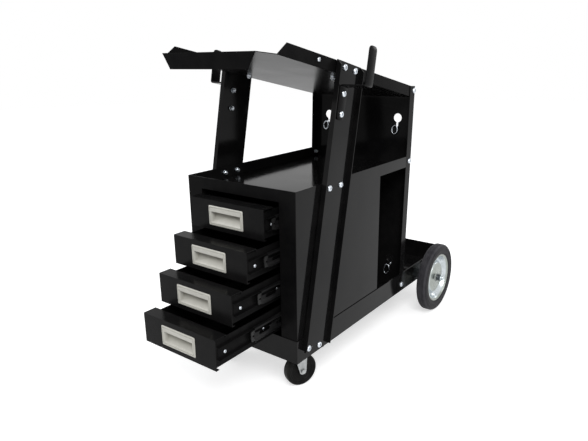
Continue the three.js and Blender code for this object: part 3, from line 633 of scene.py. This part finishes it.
# Radius and height of each kind of head
BOLT_HEAD = (7.2, 4.4)
RIVET_HEAD = (4.6, 2.6)
SCREW_HEAD = (3.9, 2.2)
PLATE_HEAD = (5.6, 3.4)
HEAD_STEPS = 24
DOME_STEPS = 5
HEAD_FLAT = 0.6  # share of the radius that is flat on top
HEAD_RIM = 0.22  # share of the height that is upright
CROSS_ARM = 0.8  # reach of the cross recess, as a share of the flat
CROSS_HALF = 0.2  # half its width, as a share of the flat
CROSS_TAPER = 0.8
CROSS_DEPTH = 1.9
NUT_ACROSS = 10
NUT_HEIGHT = 5
NUT_EDGE = 0.6
NUT_TAPER = 0.9
THREAD = 3  # radius of the bolt's end
THREAD_PROUD = 3
THREAD_EDGE = 0.8
THREAD_STEPS = 16
WASHER = 1.3
WASHER_RADIUS = 6.2
WASHER_STEPS = 24

# Bolts given along and up the post: through the tray's flange, the hook and the base
TRAY_BOLTS = ((-18.7, 256), (24.3, 256))
HOOK_BOLTS = ((-16.5, 157), (-16.5, 201))
FOOT_BOLTS = ((-28.4, -368.5), (14.5, -368.5))
# Bolts given as (y, z)
SHELF_BOLTS = ((-180.5, 472), (-135.6, 472))
PANEL_BOLTS = ((217.8, 472), (228, 660))
BASE_BOLT = (200, 113.5)
# Rivet on the tray's flange as (x, y, z), and the nut under the tray
TRAY_RIVET = (156.4, -212, 744)
TRAY_NUT_X = 124
TRAY_NUT_ALONG = -2


def cross_loop(arm, half):
    """Outline of a cross, a quarter at a time."""
    loop = []
    quarter = [(half, arm), (-half, arm), (-half, half)]
    for _ in range(4):
        loop += quarter
        quarter = [(-b, a) for a, b in quarter]
    return loop


def head_mesh(name, radius, height):
    """Domed screw head on the y-z plane, pointing along x, with a cross recess."""
    bm = bmesh.new()
    flat = radius * HEAD_FLAT
    rim = height * HEAD_RIM
    profile = [(radius, 0), (radius, rim)]
    for k in range(1, DOME_STEPS + 1):
        t = math.pi / 2 * k / DOME_STEPS
        profile.append((flat + (radius - flat) * math.cos(t), rim + (height - rim) * math.sin(t)))
    lathe(bm, profile, HEAD_STEPS, closed=False)
    top = [e for e in bm.edges if e.is_boundary and all(v.co.x > 0 for v in e.verts)]
    cross = cross_loop(flat * CROSS_ARM, flat * CROSS_HALF)
    upper = [bm.verts.new(Vector((height, a, b)) * MM) for a, b in cross]
    floor = height - CROSS_DEPTH
    lower = [bm.verts.new(Vector((floor, a * CROSS_TAPER, b * CROSS_TAPER)) * MM) for a, b in cross]
    mouth = [bm.edges.new((upper[k], upper[k - 1])) for k in range(len(cross))]
    bmesh.ops.triangle_fill(bm, use_beauty=True, edges=top + mouth)
    for k in range(len(cross)):
        bm.faces.new((upper[k - 1], upper[k], lower[k], lower[k - 1]))
    bm.faces.new(lower)
    bmesh.ops.holes_fill(bm, edges=[e for e in bm.edges if e.is_boundary])
    return mesh_of(name, bm, BOLT)


def nut_mesh():
    """Hexagon nut on a washer with the bolt's end through it, pointing along x."""
    bm = bmesh.new()
    washer = [(THREAD, 0), (WASHER_RADIUS, 0, 0.3), (WASHER_RADIUS, WASHER, 0.4), (THREAD, WASHER)]
    lathe(bm, soften(washer, 2), WASHER_STEPS)
    corner = NUT_ACROSS / math.sqrt(3)
    hexagon = [(corner * math.cos(TURN * k / 6), corner * math.sin(TURN * k / 6)) for k in range(6)]
    end = WASHER + NUT_HEIGHT
    stations = ((WASHER, NUT_TAPER), (WASHER + NUT_EDGE, 1), (end - NUT_EDGE, 1), (end, NUT_TAPER))
    closed_skin(bm, [[(along, a * scale, b * scale) for a, b in hexagon] for along, scale in stations])
    tip = end + THREAD_PROUD
    bolt_end = [(0, end), (THREAD, end), (THREAD, tip - THREAD_EDGE), (THREAD - THREAD_EDGE, tip), (0, tip)]
    lathe(bm, bolt_end, THREAD_STEPS, closed=False)
    return mesh_of("nut", bm, BOLT)


def bolts_of_side():
    """Each bolt's (y, z), the face under its head and the face under its nut, if it has one."""
    hook_face = POST_FACE + GAP + HOOK_STEEL
    rows = [(post_point(*spot), POST_FACE, NUT_FACE) for spot in TRAY_BOLTS]
    rows += [(spot, POST_FACE, NUT_FACE) for spot in SHELF_BOLTS]
    rows += [(post_point(*spot), hook_face, POST_INNER) for spot in HOOK_BOLTS]
    rows += [(post_point(*spot), POST_FACE, None) for spot in FOOT_BOLTS]
    rows.append((BASE_BOLT, BASE_HALF, BASE_INSIDE))
    rows += [(spot, SHELL_HALF, NUT_FACE) for spot in PANEL_BOLTS]
    return rows


def make_fasteners():
    bolt = head_mesh("bolt_head", *BOLT_HEAD)
    rivet = head_mesh("small_head", *RIVET_HEAD)
    nut = nut_mesh()
    tray_under = (0, -math.sin(TRAY_PITCH), -math.cos(TRAY_PITCH))
    count = 0
    for side, sign in SIDES:
        outward, inward = (sign, 0, 0), (-sign, 0, 0)
        for (y, z), outside, inside in bolts_of_side():
            count += 1
            place = toward((sign * outside, y, z), outward)
            put(f"bolt_{side}_{count}", bolt, BOLT, "frame", place=place)
            if inside:
                place = toward((sign * inside, y, z), inward)
                put(f"nut_{side}_{count}", nut, BOLT, "frame", place=place)
        x, y, z = TRAY_RIVET
        put(f"tray_rivet_{side}", rivet, BOLT, "frame", place=toward((sign * x, y, z), outward))
        y, z = leaning(TRAY_ORIGIN, TRAY_PITCH, TRAY_NUT_ALONG, 0)
        put(f"tray_nut_{side}", nut, BOLT, "frame", place=toward((sign * TRAY_NUT_X, y, z), tray_under))


# Rear wheels

WHEEL_STEPS = 96
CAP_STEPS = 32
BORE = 6.3
GROOVES = (2.9, 7.2)  # middles of the grooves on one half of the tread
GROOVE_DEPTH = 1.6
GROOVE_MOUTH = 1.1  # half width at the tread
GROOVE_FLOOR = 0.7  # half width at the bottom


def tyre_profile():
    """Section of the tyre: grooved tread, rounded shoulder, ribbed wall and bead."""
    tread = WHEEL_RADIUS
    deep = tread - GROOVE_DEPTH
    half = [(tread, 0.0)]
    for middle in GROOVES:
        half += [(tread, middle - GROOVE_MOUTH), (deep, middle - GROOVE_FLOOR)]
        half += [(deep, middle + GROOVE_FLOOR), (tread, middle + GROOVE_MOUTH)]
    half += soften([(tread, 8.6), (tread - 1.2, 11, 3), (98.2, 13.3, 1)], 4, closed=False)[1:]
    half += [(97.6, 13.2), (97.2, 13.9), (96.2, 14.3), (95.6, 13.9), (94.6, 14.6), (92, 15), (90, 15)]
    half += [(89.2, 14.2), (87.6, 14.2), (86.8, 14.9), (78, 14.6), (75.2, 13.8), (73.0, 12.9), (72.3, 12)]
    return mirrored(half)


def rim_profile():
    """Closed section of the pressed wheel: hub, dished disc, channel and rolled lips."""
    outer = [
        (BORE, HUB_HALF), (8.8, HUB_HALF, 0.6), (9.6, 19, 0.6), (9.6, 9.4, 0.8), (11.5, 9, 1),
        (14, 5.6, 1.6), (44.5, 4.2, 4.5), (50.5, -6.6, 3), (57.5, -6.4, 4), (62, 2.0, 6),
        (65.5, 10.0, 3), (69, 11.6, 1.2), (70.7, 13, 0.8), (71.9, 12.2, 0.6),
    ]
    inner = [
        (71.9, -12.2, 0.6), (70.7, -13, 0.8), (69, -12.0, 1.2), (65.5, -10.6, 2), (58, -9.2, 2),
        (49, -9.2, 2.5), (42.8, 1.6, 4), (20, 2.4, 3), (13, 1.2, 1.5), (13, -18.4, 0.8),
        (11.4, -HUB_HALF, 0.8), (BORE, -HUB_HALF),
    ]
    return soften(outer + inner)


def cap_profile():
    """Section of the push-on cap over the axle's end, open towards the wheel."""
    outside = [(BORE, GAP), (9.4, GAP, 0.4), (9.4, 1.8, 0.8), (7.4, 2.4, 1.0)]
    outside += [(7.0, 7.4, 2.2), (3, 8.7, 2), (0, 8.75)]
    inside = [(0, 6.5), (6.0, 6.4)]
    return soften(outside + inside)


def make_wheels():
    for side, sign in SIDES:
        flip = Matrix.Rotation(math.pi if sign < 0 else 0, 4, "Z")
        place = at(sign * WHEEL_X, WHEEL_Y, WHEEL_RADIUS) @ flip
        body = f"rear_wheel_{side}"
        bm = bmesh.new()
        lathe(bm, tyre_profile(), WHEEL_STEPS)
        piece(f"tyre_{side}", bm, TYRE, body, f"rear_tyre_{side}", place=place)
        bm = bmesh.new()
        lathe(bm, rim_profile(), WHEEL_STEPS)
        piece(f"rim_{side}", bm, PLATE, body, f"rear_rim_{side}", place=place)
        bm = bmesh.new()
        lathe(bm, cap_profile(), CAP_STEPS, closed=False)
        cap_place = at(sign * (WHEEL_X + HUB_HALF), WHEEL_Y, WHEEL_RADIUS) @ flip
        piece(f"axle_push_cap_{side}", bm, ZINC, "frame", f"axle_cap_{side}", place=cap_place)


# Casters

CASTER_STEPS = 64
RACE_STEPS = 48
RACE_Z = 84.6
PLATE_UNDERSIDE = 90.2
PLATE_BOLT = 23  # from the swivel's axis to each bolt, along x and along y


def caster_profile():
    """Section of the solid wheel: tread, recessed web and hub."""
    tread = CASTER_RADIUS
    half = [(tread, 0), (tread - 0.4, 8, 4), (tread - 3, 11, 3), (32.5, 11, 0.8), (31.5, 9.4, 0.8)]
    half += [(28, 9.2, 1.5), (26, 7.0, 2), (14, 6.6, 2), (11.5, 8.5, 1), (10, 12, 0.6), (3.3, 12)]
    return mirrored(soften(half, 3, closed=False))


def race_profile():
    """Section of the ring that covers the swivel's balls."""
    corners = [(18.4, 0.6), (20.5, 0.4, 0.4), (22, 1.8, 0.8), (22, 4.4, 0.8), (20.8, 5.3, 0.4), (18.4, 5.3)]
    return soften(corners, 3)


def make_casters():
    turn = Matrix.Rotation(-CASTER_TURN, 4, "Z")
    for side, sign in SIDES:
        wheel = f"caster_wheel_{side}"
        bm = bmesh.new()
        lathe(bm, caster_profile(), CASTER_STEPS)
        place = at(sign * CASTER_X, CASTER_Y, CASTER_RADIUS) @ turn @ at(0, CASTER_TRAIL, 0)
        piece(f"caster_roller_{side}", bm, CASTER, wheel, wheel, place=place)


def make_caster_fittings():
    plate_bolt = head_mesh("plate_head", *PLATE_HEAD)
    for side, sign in SIDES:
        x = sign * CASTER_X
        bm = bmesh.new()
        lathe(bm, race_profile(), RACE_STEPS)
        piece(f"swivel_race_{side}", bm, ZINC, "frame", place=toward((x, CASTER_Y, RACE_Z), (0, 0, 1)))
        for k, (dx, dy) in enumerate(((-1, -1), (1, -1), (1, 1), (-1, 1))):
            spot = (x + PLATE_BOLT * dx, CASTER_Y + PLATE_BOLT * dy, PLATE_UNDERSIDE)
            put(f"plate_head_{side}_{k}", plate_bolt, BOLT, "frame", place=toward(spot, (0, 0, -1)))


# Drawer pulls

PULL_HALF = 50.5
PULL_LOW = 11  # above the lower edge of the front
PULL_TOP = 56
PULL_PROUD = 2
PULL_SHARP = 32
# Loops of the rim, from the back edge round to the inner frame: inset, corner radius and depth
PULL_RIM = (
    (4.7, 2, 14.5), (4.7, 2, -0.3), (0, 2.6, -0.3), (0, 2.6, -0.7), (0.5, 2.3, -1.4), (1.4, 2, -PULL_PROUD),
    (2.6, 1.4, -PULL_PROUD), (3.0, 1.3, -0.5), (4.2, 1.1, -0.5), (4.7, 1.0, -1.6),
)
POCKET_LOW = 18
POCKET_TOP = 42
# Loops of the pocket's mouth: inset from the pull's ends, growth up and down, corner radius and depth
POCKET_MOUTH = ((6.6, 0.9, 1.8, -1.6), (7.2, 0.3, 1.5, -1.2), (7.5, 0, 1.3, -0.3))
# Loops of the pocket itself: inset from the pull's ends, rise of its lower and upper edge, largest depth
POCKET_WALLS = ((8.4, 0.3, 1.6, 3.5), (9.6, 0.6, 3.6, 8.5), (11.0, 1.0, 4.6, 12.6))
POCKET_CORNER = 1.2
# Slope of the pocket's floor: depth at its lower edge, how much deeper it gets, and how soon
SLOPE_START = 0.4
SLOPE_DEPTH = 12.4
SLOPE_RATE = 1.6


def pull_mesh():
    """Recessed pull: a rounded rim, a broad top frame, and a pocket whose floor rises to the lower edge."""
    bm = bmesh.new()
    loops = []
    for inset, corner, depth in PULL_RIM:
        outline = rounded_box(PULL_HALF - inset, PULL_LOW + inset, PULL_TOP - inset, corner)
        loops.append([(x, depth, z) for x, z in outline])
    for inset, growth, corner, depth in POCKET_MOUTH:
        outline = rounded_box(PULL_HALF - inset, POCKET_LOW - growth, POCKET_TOP + growth, corner)
        loops.append([(x, depth, z) for x, z in outline])
    for inset, low_rise, top_rise, depth in POCKET_WALLS:
        loop = []
        low, top = POCKET_LOW + low_rise, POCKET_TOP + top_rise
        for x, z in rounded_box(PULL_HALF - inset, low, top, POCKET_CORNER):
            share = (z - POCKET_LOW) / (POCKET_TOP - POCKET_LOW)
            loop.append((x, min(depth, SLOPE_START + SLOPE_DEPTH * min(1, share * SLOPE_RATE)), z))
        loops.append(loop)
    closed_skin(bm, loops)
    bmesh.ops.triangulate(bm, faces=[f for f in bm.faces if len(f.verts) > 4])
    return mesh_of("pull", bm, PULL, PULL_SHARP)


def make_pulls():
    mesh = pull_mesh()
    for n, (open_by, base) in enumerate(zip(DRAWER_OPEN, FRONT_BASES), 1):
        place = at(0, FRONT_Y - open_by, base)
        put(f"pull_{n}", mesh, PULL, f"drawer_{n}", f"drawer_pull_{n}", place=place)


# Slides, with x counted from the side of the drawer box

SLIDE_Z = 32.35  # above the lower edge of the front
SLIDE_LENGTH = 300
SLIDE_SETBACK = 12
STEEL = 1.2
WEB_INSIDE = 9
WEB_OUTSIDE = WEB_INSIDE + STEEL
LIP_ROOT = 11
LIP_END = 3.7
LIP_START = 3
MIDDLE_HALF = 16.2
# Slots in the web: middle, half length and half height
WEB_SLOTS = ((34, 18, 4.2), (78, 4, 4), (128, 15, 4.2), (190, 4, 4), (246, 18, 4.2))
STOP_INSIDE = 7.6
STOP_THICK = 2.3
STOP_SLOT = (-2.5, 3, 2.2)
LEVER_INSIDE = 0.9
LEVER_THICK = 3.4
LEVER_SETBACK = 170
LEVER_SLOT = (5, 2, 1.9)
SCREW_PLACES = (31, 150, 260)
SCREW_DROP = 2.5
SCREW_INSIDE = 0.6


def slot_at(middle, half_length, half_height):
    """Loop of (y, z) points round a slot."""
    return [(middle + y, z) for y, z in slot_loop(half_length, half_height)]


def middle_mesh(sign):
    """Middle slide member: a slotted web with a rounded nose and two rolled lips."""
    bm = bmesh.new()
    nose = [(0, -LIP_ROOT, 5), (SLIDE_LENGTH, -LIP_ROOT), (SLIDE_LENGTH, LIP_ROOT), (0, LIP_ROOT, 5)]
    plate(bm, [soften(nose, 5)] + [slot_at(*slot) for slot in WEB_SLOTS], sign, WEB_INSIDE, STEEL)
    lip_inside = MIDDLE_HALF - STEEL
    lip = soften([
        (WEB_OUTSIDE, LIP_ROOT), (WEB_OUTSIDE, MIDDLE_HALF, 2.2), (LIP_END, MIDDLE_HALF),
        (LIP_END, lip_inside), (WEB_INSIDE, lip_inside, 1), (WEB_INSIDE, LIP_ROOT),
    ])
    for up in (1, -1):
        closed_skin(bm, [[(sign * x, y, up * z) for x, z in lip] for y in (LIP_START, SLIDE_LENGTH)])
    return mesh_of("slide_middle_mesh", bm, SLIDE)


def stop_mesh(sign):
    """Dark stop at the nose of the middle member, rounded at its front."""
    bm = bmesh.new()
    outline = soften([(-9, -12, 4), (2.8, -12), (2.8, 12), (-9, 12, 4)])
    plate(bm, [outline, slot_at(*STOP_SLOT)], sign, STOP_INSIDE, STOP_THICK)
    return mesh_of("slide_stop", bm, LEVER)


def lever_mesh(sign):
    """Release lever lying in the inner member: a long curved tongue with a thumb end."""
    bm = bmesh.new()
    outline = [(0, -4.5, 3), (9, -4.5, 2), (14, -2.2, 3), (46, 1.0, 3)]
    outline += [(46, 4.6, 2), (14, 2.8, 3), (9, 4.5, 2), (0, 4.5, 3)]
    plate(bm, [soften(outline, 3), slot_at(*LEVER_SLOT)], sign, LEVER_INSIDE, LEVER_THICK)
    return mesh_of("slide_lever", bm, LEVER)


def make_slides():
    screw = head_mesh("slide_screw", *SCREW_HEAD)
    for side, sign in SIDES:
        x = sign * BOX_HALF
        middle, stop, lever = middle_mesh(sign), stop_mesh(sign), lever_mesh(sign)
        for n, (open_by, base) in enumerate(zip(DRAWER_OPEN, FRONT_BASES), 1):
            z = base + SLIDE_Z
            front = FRONT_Y - open_by
            half_way = at(x, FRONT_Y - open_by / 2 + SLIDE_SETBACK, z)
            runner = f"slide_middle_{n}"
            solid = f"slide_middle_{side}_{n}"
            put(f"slide_runner_{side}_{n}", middle, SLIDE, runner, solid, place=half_way)
            put(f"slide_stop_{side}_{n}", stop, LEVER, runner, place=half_way)
            lever_place = at(x, front + LEVER_SETBACK, z)
            put(f"slide_lever_{side}_{n}", lever, LEVER, f"drawer_{n}", place=lever_place)
            for k, back in enumerate(SCREW_PLACES):
                place = toward((x + sign * SCREW_INSIDE, front + back, z - SCREW_DROP), (sign, 0, 0))
                put(f"slide_screw_{side}_{n}_{k}", screw, BOLT, f"drawer_{n}", place=place)


# Hooks, with the bar's path given out from the post's inner face and up the post

HOOK_Y = -16
HOOK_HALF = 15
HOOK_CORNER = 9  # radius of the bar's rounded ends
HOOK_EDGE = 0.5
HOOK_BEND = 5
HOOK_FOOT = 145
HOOK_SEAT = 219
HOOK_REACH = 66
HOOK_TOP = 300
HOOK_END_STEPS = (0.02, 0.6, 1.6, 3, 5, 7, 9)  # cross sections by their distance from an end


def hook_path():
    """Middle line of the bent bar as (out, up) with tight bends."""
    inner = POST_STEEL + GAP + HOOK_STEEL / 2
    outer = HOOK_REACH - HOOK_STEEL / 2
    seat = HOOK_SEAT - HOOK_STEEL / 2
    corners = [(inner, HOOK_FOOT), (inner, seat, HOOK_BEND), (outer, seat, HOOK_BEND), (outer, HOOK_TOP)]
    return soften(corners, 6, closed=False)


def hook_sections():
    """Cross sections of the bar as (along the post, out, up), narrowing to the rounded ends."""
    path = [Vector(p) for p in hook_path()]
    lengths = [0]
    for a, b in zip(path, path[1:]):
        lengths.append(lengths[-1] + (b - a).length)
    total = lengths[-1]
    bends = [s for s in lengths if HOOK_CORNER + 1 < s < total - HOOK_CORNER - 1]
    ends = [*HOOK_END_STEPS, *(total - s for s in HOOK_END_STEPS)]
    sections = []
    for s in sorted({*ends, *bends}):
        i = max(k for k, length in enumerate(lengths[:-1]) if length <= s)
        here = path[i] + (path[i + 1] - path[i]) * ((s - lengths[i]) / (lengths[i + 1] - lengths[i]))
        before = path[i - 1] if s == lengths[i] else path[i]
        ahead = path[i + 1] - before
        normal = Vector((ahead.y, -ahead.x)).normalized()
        near = min(s, total - s, HOOK_CORNER)
        half = HOOK_HALF - HOOK_CORNER + math.sqrt(HOOK_CORNER ** 2 - (HOOK_CORNER - near) ** 2)
        section = rounded_box(half, -HOOK_STEEL / 2, HOOK_STEEL / 2, HOOK_EDGE, 2)
        sections.append([(HOOK_Y + across, *(here + normal * thick)) for across, thick in section])
    return sections


def make_hooks():
    sections = hook_sections()
    for side, sign in SIDES:
        bm = bmesh.new()
        loops = []
        for section in sections:
            loop = [(sign * (POST_INNER + out), *post_point(along, up)) for along, out, up in section]
            loops.append(loop)
        closed_skin(bm, loops)
        piece(f"hook_bar_{side}", bm, FRONT_COAT, "frame", f"hook_{side}")


# Chains, with y counted from the panel's back face and z from its foot

LINK_WIRE = 1.3
LINK_SIDES = 8
LINK_HALF = 3.3
LINK_PITCH = 13
RING_WIRE = 1.6
RING_SIDES = 10
RING_STEPS = 20
RING_TURN = math.radians(-10)
RING_TILT = math.radians(15)
RING_AHEAD = 5.2
# Sideways of the left and of the right ring, drop below the slot, half width and half height
RINGS = {"upper": (-8, -5.5, 12.5, 9, 12), "lower": (-8, -8, 16, 8.5, 15)}
KEYHOLE_X = 113
SLOT_HEIGHTS = (471, 66)  # of the ends of the upper and the lower keyholes' slots
CHAIN_START = -1
CHAIN_STANDOFF = 9
CHAIN_SAG = 41  # parameter of the hanging curve
CHAIN_POINTS = 14  # along half of the hanging curve
CHAIN_FALL = 18  # how far behind the panel the lower chain reaches the floor
CHAIN_REST = 3.4  # middle of a link that lies on the floor
CHAIN_LAY = ((-115, 34), (-117, 68), (-88, 98), (-50, 90), (-22, 62), (0, 52))


def smooth_path(points, steps=8):
    """Catmull-Rom curve through points."""
    out = []
    last = len(points) - 1
    for i in range(last):
        p0, p1, p2, p3 = points[max(i - 1, 0)], points[i], points[i + 1], points[min(i + 2, last)]
        for k in range(steps):
            t = k / steps
            square = (2 * p0 - 5 * p1 + 4 * p2 - p3) * t * t
            cube = (3 * p1 - p0 - 3 * p2 + p3) * t ** 3
            out.append(0.5 * (2 * p1 + (p2 - p0) * t + square + cube))
    out.append(points[last])
    return out


def lay_links(bm, path):
    """Links along a path, each turned a quarter against the one before."""
    shape = slot_loop(LINK_PITCH / 2 + LINK_WIRE, LINK_HALF)
    walked = 0.0
    due = 0.0
    upright = True
    for a, b in zip(path, path[1:]):
        step = (b - a).length
        ahead = (b - a).normalized()
        side = ahead.cross(Vector((0, 0, 1)))
        side = side.normalized() if side.length > 0.1 else Vector((1, 0, 0))
        up = side.cross(ahead)
        while due <= walked + step:
            here = a + (b - a) * ((due - walked) / step)
            across = up if upright else side
            wire(bm, [here + ahead * p + across * q for p, q in shape], LINK_WIRE, LINK_SIDES)
            upright = not upright
            due += LINK_PITCH
        walked += step


def ring_loop(centre, half_width, half_height):
    """Points of an oval ring ahead of the panel, tilted in its plane and turned about its upright."""
    points = []
    tilt_cos, tilt_sin = math.cos(RING_TILT), math.sin(RING_TILT)
    for k in range(RING_STEPS):
        t = TURN * k / RING_STEPS
        a, b = half_width * math.cos(t), half_height * math.sin(t)
        across = a * tilt_cos + b * tilt_sin
        up = b * tilt_cos - a * tilt_sin
        points.append(centre + Vector((across * math.cos(RING_TURN), across * math.sin(RING_TURN), up)))
    return points


def whole_route(half):
    """A route from its left half, which ends in the middle."""
    return half + [(-x, y, z) for x, y, z in reversed(half[:-1])]


def hanging_route(height):
    """The upper chain: through the slots and down in a hanging curve behind the panel."""
    reach = CHAIN_SAG * math.cosh(KEYHOLE_X / CHAIN_SAG)
    half_length = CHAIN_SAG * math.sinh(KEYHOLE_X / CHAIN_SAG)
    half = [(-KEYHOLE_X, CHAIN_START, height), (-KEYHOLE_X, CHAIN_STANDOFF / 2, height)]
    for i in range(1, CHAIN_POINTS + 1):
        x = CHAIN_SAG * math.asinh(-half_length * (1 - i / CHAIN_POINTS) / CHAIN_SAG)
        half.append((x, CHAIN_STANDOFF, height - reach + CHAIN_SAG * math.cosh(x / CHAIN_SAG)))
    return [panel_point(*p) for p in whole_route(half)]


def lying_route(height):
    """The lower chain: through the slots, down to the floor of the base tray and along it."""
    half = [
        (-KEYHOLE_X, CHAIN_START, height),
        (-KEYHOLE_X, CHAIN_STANDOFF / 2, height),
        (-KEYHOLE_X, CHAIN_STANDOFF, height - CHAIN_STANDOFF),
        (-KEYHOLE_X, (CHAIN_STANDOFF + CHAIN_FALL) / 2, height / 2),
        (-KEYHOLE_X, CHAIN_FALL, 2 * CHAIN_REST),
    ]
    half += [(x, y, CHAIN_REST) for x, y in CHAIN_LAY]
    origin = Vector((0, panel_point(0, 0, height).y, PANEL_ORIGIN[1]))
    return [origin + Vector(p) for p in whole_route(half)]


def make_chains():
    for (name, rings), route, height in zip(RINGS.items(), (hanging_route, lying_route), SLOT_HEIGHTS):
        bm = bmesh.new()
        lay_links(bm, smooth_path(route(height)))
        *shifts, drop, half_width, half_height = rings
        for (_, sign), shift in zip(SIDES, shifts):
            middle = panel_point(sign * KEYHOLE_X + shift, -RING_AHEAD, height - drop)
            wire(bm, ring_loop(middle, half_width, half_height), RING_WIRE, RING_SIDES)
        piece(f"{name}_chain_links", bm, BOLT, "frame", f"{name}_chain")


make_camera()
make_world()
make_floor()
for lamp in LAMPS:
    make_lamp(*lamp)
dress_solids()
make_fasteners()
make_wheels()
make_casters()
make_caster_fittings()
make_pulls()
make_slides()
make_hooks()
make_chains()
